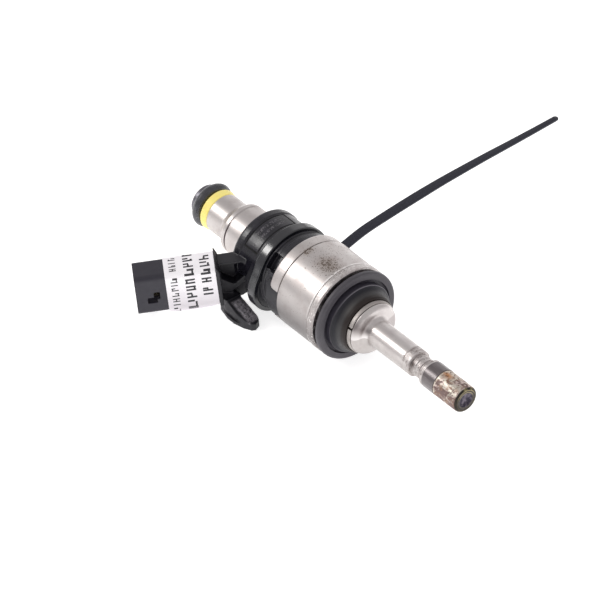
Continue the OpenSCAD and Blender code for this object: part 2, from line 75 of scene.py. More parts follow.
# ---------------------------------------------------------------- camera, floor and light
# Direction from the object to the camera, the point it looks at, its distance and the width that it sees.
VIEW_BACK = Vector((0.605, -0.492, 0.627)).normalized()
LOOK_AT = Vector((-0.0230, -0.0187, 0.0164))
CAMERA_FAR = 5.0
FRAME_WIDE = 0.1258


def make_camera():
    """A long lens from far off, so the view is nearly without perspective."""
    sensor = 36
    data = bpy.data.cameras.new("camera")
    data.sensor_width = sensor
    data.lens = sensor * CAMERA_FAR / FRAME_WIDE
    data.clip_start, data.clip_end = 0.1, 30
    cam = bpy.data.objects.new("camera", data)
    bpy.context.scene.collection.objects.link(cam)
    cam.location = LOOK_AT + VIEW_BACK * CAMERA_FAR
    cam.rotation_mode = "QUATERNION"
    cam.rotation_quaternion = (-VIEW_BACK).to_track_quat("-Z", "Y")
    bpy.context.scene.camera = cam


def area_light(name, towards, far, wide, tall, radiance, colour=(1, 1, 1)):
    """A soft box that shines on the object from that direction, with an even radiance over its face."""
    data = bpy.data.lights.new(name, "AREA")
    data.shape = "RECTANGLE"
    data.size, data.size_y = wide, tall
    data.energy = radiance * math.pi * wide * tall
    data.color = colour
    lamp = bpy.data.objects.new(name, data)
    bpy.context.scene.collection.objects.link(lamp)
    direction = Vector(towards).normalized()
    lamp.location = LOOK_AT + direction * far
    lamp.rotation_mode = "QUATERNION"
    lamp.rotation_quaternion = (-direction).to_track_quat("-Z", "Y")
    lamp.visible_camera = False


def make_light():
    """One small bright box above the left, a weak one behind, and an even white surround."""
    area_light("key_light", (-0.605, -0.532, 0.593), 0.7, 0.17, 0.22, 11, (1.0, 0.985, 0.965))
    area_light("back_light", (-0.55, 0.75, 0.36), 1.0, 0.9, 0.5, 0.35)
    world = bpy.data.worlds.new("studio")
    world.use_nodes = True
    background = world.node_tree.nodes["Background"]
    background.inputs["Color"].default_value = (1.0, 0.975, 0.985, 1)
    background.inputs["Strength"].default_value = 0.6
    bpy.context.scene.world = world
    bpy.context.scene.view_settings.view_transform = "Standard"


# ---------------------------------------------------------------- materials
class Graph:
    """A procedural material, built node by node. Positions are in millimetres in the object's frame."""

    def __init__(self, name):
        self.material = bpy.data.materials.new(name)
        self.material.use_nodes = True
        self.tree = self.material.node_tree
        self.tree.nodes.clear()
        self.bsdf = self.tree.nodes.new("ShaderNodeBsdfPrincipled")
        out = self.tree.nodes.new("ShaderNodeOutputMaterial")
        self.tree.links.new(self.bsdf.outputs[0], out.inputs[0])
        coords = self.tree.nodes.new("ShaderNodeTexCoord")
        self.mm = self.vector("SCALE", coords.outputs["Object"], scale=1 / MM)
        split = self.tree.nodes.new("ShaderNodeSeparateXYZ")
        self.tree.links.new(self.mm, split.inputs[0])
        self.x, self.y, self.z = split.outputs

    def plug(self, socket, value):
        """Link value to the socket if it is an output, or else set it there."""
        if isinstance(value, bpy.types.NodeSocket):
            self.tree.links.new(value, socket)
        elif isinstance(value, tuple) and len(value) == 3 and socket.type == "RGBA":
            socket.default_value = (*value, 1)
        else:
            socket.default_value = value

    def source(self, name):
        """The output that already feeds this input of the shader."""
        return self.bsdf.inputs[name].links[0].from_socket

    def vector(self, operation, a, b=None, scale=None):
        node = self.tree.nodes.new("ShaderNodeVectorMath")
        node.operation = operation
        self.plug(node.inputs[0], a)
        if b is not None:
            self.plug(node.inputs[1], b)
        if scale is not None:
            self.plug(node.inputs["Scale"], scale)
        return node.outputs[0]

    def math(self, operation, a, b=None, clamp=False):
        node = self.tree.nodes.new("ShaderNodeMath")
        node.operation = operation
        node.use_clamp = clamp
        self.plug(node.inputs[0], a)
        if b is not None:
            self.plug(node.inputs[1], b)
        return node.outputs[0]

    def plus(self, a, b, clamp=False):
        return self.math("ADD", a, b, clamp=clamp)

    def minus(self, a, b):
        return self.math("SUBTRACT", a, b)

    def times(self, a, *others):
        for b in others:
            a = self.math("MULTIPLY", a, b)
        return a

    def larger(self, a, b):
        return self.math("MAXIMUM", a, b)

    def absolute(self, a):
        """a without its sign."""
        return self.math("ABSOLUTE", a)

    def noise(self, scale, detail=3.0, stretch=(1, 1, 1), roughness=0.55, distortion=0.0):
        """Noise from 0 to 1. scale is in waves per millimetre."""
        node = self.tree.nodes.new("ShaderNodeTexNoise")
        node.inputs["Scale"].default_value = scale
        node.inputs["Detail"].default_value = detail
        node.inputs["Roughness"].default_value = roughness
        node.inputs["Distortion"].default_value = distortion
        self.plug(node.inputs["Vector"], self.vector("MULTIPLY", self.mm, stretch))
        return node.outputs["Fac"]

    def band(self, value, low, high, low_out=0.0, high_out=1.0):
        """value mapped smoothly from low..high to low_out..high_out, held at the ends."""
        node = self.tree.nodes.new("ShaderNodeMapRange")
        node.interpolation_type = "SMOOTHSTEP"
        self.plug(node.inputs["Value"], value)
        node.inputs["From Min"].default_value = low
        node.inputs["From Max"].default_value = high
        node.inputs["To Min"].default_value = low_out
        node.inputs["To Max"].default_value = high_out
        return node.outputs[0]

    def near(self, value, middle, far, close):
        """1 where value is within close of middle, falling to 0 where it is far from it."""
        return self.band(self.absolute(self.minus(value, middle)), far, close)

    def between(self, value, start, full, last, end):
        """1 from full to last, falling to 0 at start and at end."""
        return self.times(self.band(value, start, full), self.band(value, end, last))

    def mix(self, share, a, b):
        """Colour a, with that share of it replaced by b."""
        node = self.tree.nodes.new("ShaderNodeMix")
        node.data_type = "RGBA"
        self.plug(node.inputs["Factor"], share)
        self.plug(node.inputs[6], a)
        self.plug(node.inputs[7], b)
        return node.outputs[2]

    def back(self):
        """Distance back from the spray tip."""
        return self.minus(TIP, self.x)

    def radius(self):
        """Distance from the injector's axis."""
        return self.math("SQRT", self.plus(self.times(self.y, self.y), self.times(self.z, self.z)))

    def turn(self):
        """Degrees round the axis, from +Y towards +Z, from -180 to 180."""
        return self.times(self.math("ARCTAN2", self.z, self.y), 180 / math.pi)

    def full_turn(self):
        """Degrees round the axis, from +Y towards +Z, from 0 to 360."""
        return self.math("FLOORED_MODULO", self.plus(self.turn(), 360), 360)

    def from_side(self):
        """Degrees from +Y, whichever way round, from 0 to 180."""
        return self.absolute(self.turn())

    def spot(self, back, turn, half_back, half_turn):
        """1 at a place on a turned surface, falling to 0 round it."""
        a = self.math("DIVIDE", self.minus(self.back(), back), half_back)
        b = self.math("DIVIDE", self.minus(self.turn(), turn), half_turn)
        squares = self.plus(self.times(a, a), self.times(b, b))
        return self.math("EXPONENT", self.times(squares, -1))

    def bump(self, height, strength, distance, under=None):
        """Surface relief. distance is in millimetres, and under is a coarser relief below this one."""
        node = self.tree.nodes.new("ShaderNodeBump")
        node.inputs["Strength"].default_value = strength
        node.inputs["Distance"].default_value = distance * MM
        self.plug(node.inputs["Height"], height)
        if under is not None:
            self.plug(node.inputs["Normal"], under)
        return node.outputs[0]

    def set(self, **values):
        names = {"colour": "Base Color", "rough": "Roughness", "metal": "Metallic", "normal": "Normal",
                 "coat": "Coat Weight", "coat_rough": "Coat Roughness", "specular": "Specular IOR Level",
                 "subsurface": "Subsurface Weight"}
        for name, value in values.items():
            self.plug(self.bsdf.inputs[names[name]], value)

    def glow(self, colour, strength):
        """Light that the surface gives off by itself."""
        self.plug(self.bsdf.inputs["Emission Color"], colour)
        self.plug(self.bsdf.inputs["Emission Strength"], strength)


def turned_steel(name, colour, dark, rough, line=0.5, seams=()):
    """Steel turned on a lathe, with fine rings of depth line, patchy polish and a few darker smears.

    seams lists lines where dirt has settled, each as its distance back and half its width."""
    dirt, smear = (0.09, 0.07, 0.06), (0.30, 0.25, 0.22)
    g = Graph(name)
    rings = g.noise(1.0, 2.0, (9, 0.12, 0.12))
    patches = g.noise(0.35, 4.0)
    grain = g.noise(14, 2.0)
    made = g.mix(g.band(patches, 0.42, 0.72), colour, dark)
    streak = g.band(g.noise(1.8, 4.0, (0.25, 1, 1), 0.7), 0.58, 0.72)
    made = g.mix(g.times(streak, 0.18), made, smear)
    uneven = g.band(g.noise(1.3, 3.0), 0.25, 0.6, 0.45, 1.0)
    for back, half in seams:
        made = g.mix(g.times(g.near(g.back(), back, half * 1.5, half * 0.4), uneven), made, dirt)
    g.set(colour=made, metal=1.0,
          rough=g.plus(g.band(patches, 0.3, 0.7, rough - 0.04, rough + 0.06),
                       g.band(rings, 0.3, 0.7, -0.03, 0.03)),
          normal=g.bump(grain, 0.05, 0.02, g.bump(rings, 0.12 * line, 0.03)))
    return g


def plastic(name, colour, light, rough, grain=16, depth=0.25):
    """Moulded plastic with a fine spark-eroded grain and slightly uneven gloss."""
    g = Graph(name)
    texture = g.noise(grain, 2.0)
    clouds = g.noise(0.5, 3.0)
    g.set(colour=g.mix(g.band(clouds, 0.4, 0.75), colour, light),
          rough=g.plus(g.band(clouds, 0.3, 0.7, rough - 0.04, rough + 0.05),
                       g.band(texture, 0.3, 0.7, -0.03, 0.03)),
          normal=g.bump(texture, depth, 0.02))
    return g


def inlet_steel():
    """Satin steel of the inlet, with a dark bluish rim, and dirt and painted shade in the groove of its bead.
    """
    dark_bluish, dirt = (0.13, 0.13, 0.155), (0.075, 0.05, 0.055)
    groove_at = 73.45
    g = turned_steel("steel_satin", (0.60, 0.565, 0.55), (0.54, 0.50, 0.485), 0.37, seams=((54, 0.2),))
    # Dirt and painted shade in the groove of the bead: faint all round, strongest on the side towards -Y.
    groove = g.times(g.near(g.back(), groove_at, 0.24, 0.1), g.band(g.from_side(), 118, 150, 0.12, 0.95))
    colour = g.mix(groove, g.source("Base Color"), dirt)
    rim = g.between(g.back(), 86.0, 86.1, 87.1, 87.25)
    g.set(colour=g.mix(g.times(rim, 0.9), colour, dark_bluish))
    return g.material


def housing_steel():
    """Warm grey steel with clusters of rust specks, painted shade on its underside, and a front band with
    scratches and a painted highlight along its edge.
    """
    rust, rust_haze, speck = (0.11, 0.08, 0.06), (0.34, 0.27, 0.21), (0.22, 0.18, 0.16)
    underside_painted_shade, scratch, painted_highlight_and_scratches = (0.15, 0.138, 0.138), (0.36, 0.31, 0.31), (0.93, 0.90, 0.88)
    band_rear, edge_at = 40.3, 40.62
    # Rust clusters: distance back, degrees round, half length, half width in degrees, and strength.
    clusters = [(43.4, 98.5, 2.6, 10, 0.85), (49.9, 102, 0.9, 7, 1.35), (43.5, 104, 4.5, 18, 0.4),
                (47, 70, 4, 22, 0.3), (45, -120, 5, 30, 0.5)]
    g = turned_steel("housing_steel", (0.61, 0.575, 0.56), (0.54, 0.495, 0.48), 0.37,
                     seams=((50.4, 0.16), (40.32, 0.08)))
    dots = g.noise(3.0, 3.0, (1, 1, 1), 0.62)
    coarse = g.noise(0.9, 3.0)
    near = 0.0
    for *place, strength in clusters:
        near = g.plus(near, g.times(g.spot(*place), strength))
    level = g.times(near, g.plus(g.times(coarse, 0.7), 0.55))
    specks = g.band(g.plus(dots, g.times(level, 0.19)), 0.655, 0.70)
    colour = g.mix(g.times(g.band(level, 0.15, 0.9), 0.30), g.source("Base Color"), rust_haze)
    stray = g.band(g.noise(2.0, 2.0, (1, 1, 1), 0.8), 0.74, 0.78)
    colour = g.mix(g.times(stray, 0.35), colour, speck)
    # Painted shade on the lower side of the can, towards -Y.
    underside = g.between(g.full_turn(), 142, 196, 220, 300)
    colour = g.mix(g.times(underside, 0.90), colour, underside_painted_shade)
    scratches = g.noise(1.6, 4.0, (3, 1, 1), 0.7)
    rolled = g.band(g.back(), band_rear, band_rear - 0.15)
    colour = g.mix(g.times(rolled, g.band(scratches, 0.5, 0.62), 0.5), colour, scratch)
    # Painted highlight: a bright line along the band's front edge, faded out towards -Y, with bright
    # scratches on the band mixed in.
    edge = g.times(g.near(g.back(), edge_at, 0.26, 0.12), g.band(g.noise(1.0, 3.0), 0.30, 0.52, 0.35, 1.0))
    edge = g.times(edge, g.band(g.from_side(), 172, 140))
    light = g.larger(edge, g.times(rolled, g.band(scratches, 0.46, 0.36), 0.7))
    colour = g.mix(light, colour, painted_highlight_and_scratches)
    g.set(colour=g.mix(g.times(specks, 0.9), colour, rust),
          metal=g.minus(g.minus(1.0, g.times(specks, 0.8)), g.times(light, 0.45)))
    return g.material


def nozzle_steel():
    """Polished nozzle: bright, with dark deposits and rough rings round the neck behind the seal."""
    crusted, hooped, dark_crescent = (0.20, 0.155, 0.14), (0.30, 0.25, 0.24), (0.10, 0.075, 0.07)
    lined, shaded = (0.26, 0.21, 0.20), (0.36, 0.335, 0.32)
    # grey, dark and bright are the colours of the painted reflections on the dome.
    grey, dark, bright = (0.36, 0.32, 0.32), (0.16, 0.135, 0.135), (0.86, 0.83, 0.82)
    line_at = 17.6
    g = turned_steel("steel_polished", (0.66, 0.625, 0.61), (0.60, 0.56, 0.55), 0.335, 0.35,
                     seams=((31.1, 0.08),))
    neck = g.between(g.back(), 11.0, 11.6, 17.4, 18.6)
    crust = g.noise(1.1, 4.0, (1.4, 1, 1), 0.65, 0.5)
    dirt = g.times(neck, g.band(crust, 0.53, 0.66))
    colour = g.mix(g.times(dirt, 0.8), g.source("Base Color"), crusted)
    hoops = g.times(neck, g.band(g.noise(1.0, 3.0, (3.2, 0.25, 0.25), 0.6, 0.4), 0.47, 0.60))
    colour = g.mix(g.times(hoops, 0.5), colour, hooped)
    # A dark crescent on the neck, 150 degrees round.
    colour = g.mix(g.times(g.spot(15.1, 150, 0.55, 22), 0.9), colour, dark_crescent)
    line = g.times(g.near(g.back(), line_at, 0.2, 0.08), g.band(g.noise(0.8, 2.0), 0.42, 0.55))
    colour = g.mix(g.times(line, 0.5), colour, lined)
    shade = g.between(g.full_turn(), 140, 185, 230, 300)
    colour = g.mix(g.times(shade, 0.50), colour, shaded)
    # Painted reflections on the dome, which was faced on a lathe: soft grey sectors, a dark patch and a
    # bright patch round the tube's root.
    dome = g.between(g.back(), 28.3, 29.0, 31.1, 31.3)
    sector = g.band(g.noise(0.16, 2.0, (0.3, 1, 1), 0.5, 0.6), 0.50, 0.60)
    colour = g.mix(g.times(dome, sector, 0.45), colour, grey)
    colour = g.mix(g.times(dome, g.spot(30.0, 150, 2.5, 15), 0.8), colour, dark)
    colour = g.mix(g.times(dome, g.spot(29.6, 178, 2.0, 10), 0.7), colour, bright)
    g.set(colour=colour, rough=g.plus(g.source("Roughness"), g.times(neck, 0.08)),
          normal=g.bump(g.times(crust, neck), 0.8, 0.16, g.source("Normal")))
    return g.material


def tip_steel():
    """Spray tip after use: brown and orange heat stain at the sides, cream scale between and dark spots.

    The end face is sooty, with gold-coloured arcs round it."""
    scale_colour, orange_stain, brown_stain = (0.76, 0.72, 0.62), (0.58, 0.27, 0.11), (0.42, 0.27, 0.20)
    outline, spot_colour, bare = (0.12, 0.055, 0.045), (0.085, 0.035, 0.035), (0.74, 0.66, 0.57)
    face_grey, arc_gold = (0.052, 0.046, 0.045), (0.48, 0.40, 0.22)
    face_radius = 2.3
    g = Graph("stained_tip")
    blotch = g.noise(0.62, 5.0, (0.8, 1, 1), 0.6, 1.3)
    other = g.noise(0.9, 4.0, (1.0, 1, 1), 0.6, 1.0)
    tint = g.noise(0.5, 2.0)
    spots = g.noise(1.7, 3.0, (1, 1, 1), 0.65, 0.8)
    sides = g.larger(g.between(g.full_turn(), 138, 172, 228, 262), g.spot(2.6, 86, 2.4, 14))
    lean = g.plus(blotch, g.times(g.minus(sides, 0.42), 0.13))
    brown = g.mix(g.band(tint, 0.42, 0.58), (0.26, 0.16, 0.12), (0.22, 0.155, 0.145))
    pale = g.mix(g.band(tint, 0.40, 0.60), (0.60, 0.55, 0.48), (0.66, 0.54, 0.50))
    colour = g.mix(g.band(lean, 0.44, 0.55), pale, brown)
    scale = g.times(g.band(other, 0.52, 0.62), g.band(lean, 0.58, 0.46))
    colour = g.mix(scale, colour, scale_colour)
    orange = g.times(g.spot(6.0, 92, 1.5, 14), g.band(other, 0.38, 0.5, 0.5, 1.0))
    colour = g.mix(orange, colour, orange_stain)
    colour = g.mix(g.times(g.band(other, 0.44, 0.34), 0.7), colour, brown_stain)
    edge = g.times(g.near(lean, 0.5, 0.016, 0.004), g.band(other, 0.45, 0.55))
    colour = g.mix(edge, colour, outline)
    colour = g.mix(g.band(spots, 0.61, 0.67), colour, spot_colour)
    rear_ring = g.times(g.band(g.back(), 6.85, 7.0), g.band(g.noise(1.6, 2.0), 0.46, 0.54))
    colour = g.mix(rear_ring, colour, bare)
    # End face: soot in the middle, a plain ring, then dull gold out to the edge.
    r = g.radius()
    gold = g.mix(g.band(g.noise(0.8, 2.0), 0.50, 0.62), (0.04, 0.035, 0.028), (0.27, 0.235, 0.13))
    soot = g.mix(g.band(g.noise(1.3, 3.0), 0.42, 0.62), (0.035, 0.028, 0.050), (0.17, 0.145, 0.185))
    face = g.mix(g.band(r, 1.68, 1.80), soot, face_grey)
    face = g.mix(g.band(r, face_radius, face_radius + 0.06), face, gold)
    upper = g.band(g.absolute(g.minus(g.turn(), 85)), 80, 45, 0.15, 1.0)
    arcs = g.larger(g.near(r, 2.42, 0.09, 0.03), g.near(r, 1.92, 0.10, 0.03))
    face = g.mix(g.times(arcs, upper), face, arc_gold)
    face_share = g.larger(g.band(g.back(), 0.42, 0.30), g.band(r, face_radius + 0.03, face_radius - 0.02))
    g.set(colour=g.mix(face_share, colour, face), metal=g.band(r, face_radius - 0.1, face_radius, 0.35, 0.8),
          rough=g.band(blotch, 0.4, 0.6, 0.42, 0.58),
          normal=g.bump(g.noise(4, 4.0), 0.3, 0.04, g.bump(blotch, 0.3, 0.1)))
    return g.material


def seal_sleeve():
    """Smooth dark grey-brown sleeve with light scuffs along it."""
    g = Graph("seal_sleeve")
    streaks = g.noise(1.0, 3.0, (0.5, 5, 5))
    g.set(colour=g.mix(g.band(streaks, 0.45, 0.75), (0.135, 0.115, 0.118), (0.19, 0.165, 0.165)), metal=0.5,
          rough=g.band(streaks, 0.3, 0.7, 0.30, 0.38), normal=g.bump(streaks, 0.12, 0.03),
          coat=0.6, coat_rough=0.26)
    return g.material


def body_plastic():
    """Black glass-filled plastic, a little dusty, with a fine groove that frames the panel on the barrel,
    painted shade in that groove and on the arm, and painted light on the lug's pad.
    """
    dust_grey, arm_painted_shade, shell_black = (0.075, 0.072, 0.075), (0.004, 0.004, 0.007), (0.024, 0.022, 0.034)
    painted_light_grey, worn_grey, groove_painted_shade = (0.34, 0.32, 0.35), (0.15, 0.14, 0.155), (0.002, 0.002, 0.002)
    panel_front, panel_rear, panel_low, panel_high = 61.0, 65.05, 65, 145
    g = plastic("black_plastic", (0.0095, 0.009, 0.014), (0.019, 0.018, 0.026), 0.28)
    back, turn, radius = g.back(), g.turn(), g.radius()
    dust = g.band(g.noise(2.2, 5.0, (1, 1, 1), 0.7), 0.62, 0.78)
    colour = g.mix(g.times(dust, 0.30), g.source("Base Color"), dust_grey)
    # The arm is duller than the barrel and darkened with painted shade, and the connector at its end a little
    # lighter.
    arm = g.band(g.y, -8.3, -9.3)
    colour = g.mix(g.times(arm, 0.45), colour, arm_painted_shade)
    colour = g.mix(g.times(g.band(g.y, -15.0, -16.5), 0.9), colour, shell_black)
    # The pad on the hanging lug gets patchy grey painted light.
    pad_slope, pad_rear = 0.306, 62.4
    height = g.minus(g.z, g.times(g.minus(back, pad_rear), pad_slope))
    pad = g.times(g.between(back, 56.6, 57.2, 62.7, 63.3), g.between(g.y, -12.7, -12.2, -9.5, -9.2))
    pad = g.times(pad, g.between(height, -7.5, -7.1, -6.4, -6.1))
    pad_painted_light = g.times(pad, g.band(g.noise(1.8, 4.0, (1, 1, 1), 0.7), 0.25, 0.70))
    colour = g.mix(pad_painted_light, colour, painted_light_grey)

    def line(value, middle, half):
        return g.near(value, middle, half, half * 0.55)

    def within(value, low, high, soft):
        return g.between(value, low - soft, low, high, high + soft)
    # Two rows of worn specks stand where the real panel has raised marks.
    rows = g.plus(within(back, 62.2, 62.8, 0.1), within(back, 63.5, 64.2, 0.1), clamp=True)
    worn = g.times(rows, g.times(within(turn, 80, 122, 2), g.band(radius, 8.3, 8.45)))
    worn = g.times(worn, g.band(g.noise(2.6, 2.0, (1.0, 1.3, 1.3)), 0.49, 0.56))
    colour = g.mix(g.times(worn, 0.75), colour, worn_grey)
    across = g.times(g.plus(line(back, panel_front, 0.16), line(back, panel_rear, 0.16), clamp=True),
                     within(turn, panel_low, panel_high, 0.5))
    along = g.times(g.plus(line(turn, panel_low, 1.1), line(turn, panel_high, 1.7), clamp=True),
                    within(back, panel_front, panel_rear, 0.1))
    # Painted shade darkens the frame groove.
    groove = g.times(g.plus(across, along, clamp=True), g.band(radius, 8.0, 8.2), g.band(radius, 8.75, 8.65))
    g.set(colour=g.mix(groove, colour, groove_painted_shade),
          rough=g.plus(g.source("Roughness"), g.plus(g.times(groove, 0.5), g.times(arm, 0.22))),
          normal=g.bump(g.times(groove, -1), 0.6, 0.15, g.source("Normal")), specular=0.5)
    return g.material


def ring_plastic():
    """Grey-black plastic of the support ring, with painted shade in its groove, over its front recess and
    bowl and at its front end, a painted highlight on the ridge inside it and a painted light patch on the
    bowl.
    """
    groove_painted_shade, bowl_painted_shade, recess_painted_shade = (0.040, 0.037, 0.050), (0.010, 0.010, 0.016), (0.050, 0.048, 0.050)
    painted_light_grey, ridge_painted_highlight, hub_painted_shade = (0.14, 0.135, 0.125), (0.17, 0.16, 0.185), (0.018, 0.011, 0.009)
    step_at, ridge_back, ridge_radius = 35.35, 35.2, 8.04
    g = plastic("ring_plastic", (0.078, 0.073, 0.084), (0.095, 0.089, 0.102), 0.42, 12, 0.3)
    back, r = g.back(), g.radius()
    # Painted shade in the groove by the seat.
    groove = g.times(g.band(back, 35.3, 35.6), g.band(r, 8.95, 8.8))
    colour = g.mix(groove, g.source("Base Color"), groove_painted_shade)
    # Painted shade over the front recess, in front of the step.
    colour = g.mix(g.band(back, step_at, step_at - 0.15), colour, recess_painted_shade)
    # Deeper painted shade in the bowl below the ridge.
    bowl = g.times(g.band(r, 6.9, 7.5), g.band(back, step_at, step_at - 0.15))
    colour = g.mix(bowl, colour, bowl_painted_shade)
    # Painted light: a soft pale patch on the bowl, on the side towards the key light.
    colour = g.mix(g.times(g.spot(33.3, 125, 0.8, 16), 0.5), colour, painted_light_grey)
    # Painted highlight along the ridge, fading out towards -Y.
    ridge = g.times(g.near(r, ridge_radius, 0.10, 0.03), g.near(back, ridge_back, 0.25, 0.1))
    colour = g.mix(g.times(ridge, g.band(g.from_side(), 170, 90)), colour, ridge_painted_highlight)
    # Painted shade at the front end, next to the snap ring.
    hub = g.times(g.band(back, 33.8, 32.9), 0.92)
    g.set(colour=g.mix(hub, colour, hub_painted_shade), specular=0.32)
    return g.material


def rubber(name, colour):
    """Smooth, slightly greasy rubber."""
    g = Graph(name)
    fine = g.noise(7, 3.0)
    smear = g.noise(0.9, 2.0)
    g.set(colour=g.mix(g.band(smear, 0.45, 0.7), colour, tuple(c * 1.9 for c in colour)),
          rough=g.band(smear, 0.3, 0.7, 0.24, 0.32), normal=g.bump(fine, 0.10, 0.03), specular=1.0)
    return g.material


def yellow_plastic():
    """Bright yellow plastic that light gets into a little way, with a faint painted glow."""
    g = Graph("backup_plastic")
    cloud = g.noise(0.8, 3.0)
    fine = g.noise(8, 2.0)
    g.set(colour=g.mix(g.band(cloud, 0.4, 0.7), (1.0, 0.86, 0.25), (1.0, 0.82, 0.20)),
          rough=0.36, subsurface=0.08, normal=g.bump(fine, 0.12, 0.02))
    g.plug(g.bsdf.inputs["Subsurface Radius"], (0.0006, 0.0004, 0.0001))
    # Painted light: a faint yellow glow.
    g.glow((1.0, 0.85, 0.30), 0.13)
    return g.material


def label_paper():
    """Thin white paper with a faint painted glow, and painted shade that makes it greyer towards its lower
    edge.
    """
    g = Graph("label_paper")
    fibre = g.noise(5, 5.0, (1, 1, 1), 0.7)
    crease = g.noise(0.35, 3.0)
    paper = g.mix(g.band(crease, 0.4, 0.75), (0.96, 0.94, 0.97), (0.90, 0.87, 0.91))
    # Painted shade greys the paper towards its lower edge.
    g.set(colour=g.mix(g.band(g.z, 0.0, -6.5, 0, 0.9), paper, (0.70, 0.66, 0.70)), rough=0.55,
          normal=g.bump(fibre, 0.15, 0.02, g.bump(crease, 0.3, 0.25)))
    # Painted light: a faint glow.
    g.glow((1.0, 0.985, 1.0), 0.11)
    return g.material


def label_ink():
    """Black ink, faded in patches."""
    g = Graph("label_ink")
    fade = g.noise(4, 3.0)
    g.set(colour=g.mix(g.band(fade, 0.45, 0.8), (0.02, 0.02, 0.024), (0.09, 0.09, 0.10)), rough=0.5,
          normal=g.bump(fade, 0.1, 0.01))
    return g.material


def tie_plastic(name, specular, lift=1.0):
    """Glossy black nylon with a bluish cast. lift makes it that many times lighter: above 1, it paints light
    on a copy of the same nylon.
    """
    g = Graph(name)
    fine = g.noise(3.5, 3.0)
    dark = tuple(lift * c for c in (0.006, 0.0065, 0.010))
    light = tuple(lift * c for c in (0.010, 0.011, 0.0165))
    g.set(colour=g.mix(g.band(fine, 0.4, 0.7), dark, light), rough=g.band(fine, 0.3, 0.7, 0.16, 0.19),
          normal=g.bump(fine, 0.012, 0.03), specular=specular)
    return g.material


def plain_metal(name, colour, dark, rough, metal=1.0):
    """Metal for the inner pieces, with soft darker patches."""
    g = Graph(name)
    patches = g.noise(0.7, 4.0)
    fine = g.noise(10, 2.0)
    g.set(colour=g.mix(g.band(patches, 0.4, 0.7), colour, dark), metal=metal,
          rough=g.band(patches, 0.3, 0.7, rough, rough + 0.1), normal=g.bump(fine, 0.15, 0.015))
    return g.material


def floor_paint():
    """White backdrop that shines enough to hide its edge."""
    g = Graph("floor_paint")
    g.set(colour=(0.9, 0.9, 0.9), rough=0.9)
    g.glow((1, 1, 1), 0.72)
    return g.material


# ---------------------------------------------------------------- mesh helpers
def link(name, mesh, material, body="body", smooth=40):
    """New object in the scene that rides on that body, shaded smooth up to that many degrees."""
    piece = bpy.data.objects.new(name, mesh)
    bpy.context.scene.collection.objects.link(piece)
    mesh.materials.append(material)
    mesh.shade_smooth()
    mesh.set_sharp_from_angle(angle=math.radians(smooth))
    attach(piece, body)
    return piece


def bare_mesh(name, bm):
    mesh = bpy.data.meshes.new(name)
    bm.to_mesh(mesh)
    bm.free()
    return mesh


def to_mesh(name, bm):
    """Mesh with its faces turned outwards."""
    bmesh.ops.recalc_face_normals(bm, faces=bm.faces)
    return bare_mesh(name, bm)


def skin(bm, rings):
    """Faces from each ring of points to the next, and one face over each end."""
    for a, b in zip(rings, rings[1:]):
        for k in range(len(a)):
            n = (k + 1) % len(a)
            bm.faces.new((a[k], a[n], b[n], b[k]))
    bm.faces.new(rings[0])
    bm.faces.new(rings[-1])


def eased(points, ease, steps=4):
    """Closed profile with each corner turned into a small arc, and a point just outside each arc."""
    made = []
    count = len(points)
    for i in range(count):
        corner = Vector(points[i])
        before = Vector(points[i - 1]) - corner
        after = Vector(points[(i + 1) % count]) - corner
        if corner.y < 1e-6 or before.length < 1e-6 or after.length < 1e-6:
            made.append(corner)
            continue
        bend = math.pi - before.angle(after)
        cut = min(ease, 0.42 * before.length, 0.42 * after.length)
        if bend < math.radians(12):
            made.append(corner)
            continue
        a = corner + before.normalized() * cut
        b = corner + after.normalized() * cut
        if before.length > 3 * cut:
            made.append(corner + before.normalized() * cut * 1.15)
        for k in range(steps + 1):
            t = k / steps
            made.append(a * (1 - t) ** 2 + corner * 2 * t * (1 - t) + b * t * t)
        if after.length > 3 * cut:
            made.append(corner + after.normalized() * cut * 1.15)
    return made


def lathe(name, points, segments, ease, shape):
    """Mesh turned about the injector axis from [distance back, radius] points. shape may move each point."""
    profile = eased([(d, r) for d, r in points], ease)
    bm = bmesh.new()
    rows = []
    for k in range(segments):
        turn = 2 * math.pi * k / segments
        row = []
        for p in profile:
            d, r = p.x, max(p.y, 0.0)
            if shape:
                d, r = shape(d, r, math.degrees(turn))
            row.append(bm.verts.new(((TIP - d) * MM, r * math.cos(turn) * MM, r * math.sin(turn) * MM)))
        rows.append(row)
    for k in range(segments):
        a, b = rows[k], rows[(k + 1) % segments]
        for i in range(len(profile)):
            j = (i + 1) % len(profile)
            bm.faces.new((a[i], a[j], b[j], b[i]))
    bmesh.ops.remove_doubles(bm, verts=bm.verts, dist=1e-7)
    bmesh.ops.dissolve_degenerate(bm, edges=bm.edges, dist=1e-8)
    return to_mesh(name, bm)


def turned_piece(node, points, material, segments, ease, shape=None, name=None):
    """Turned piece that takes the place of a CAD node."""
    piece = link(name or node + "_turned", lathe(node, points, segments, ease, shape), material)
    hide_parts(node)


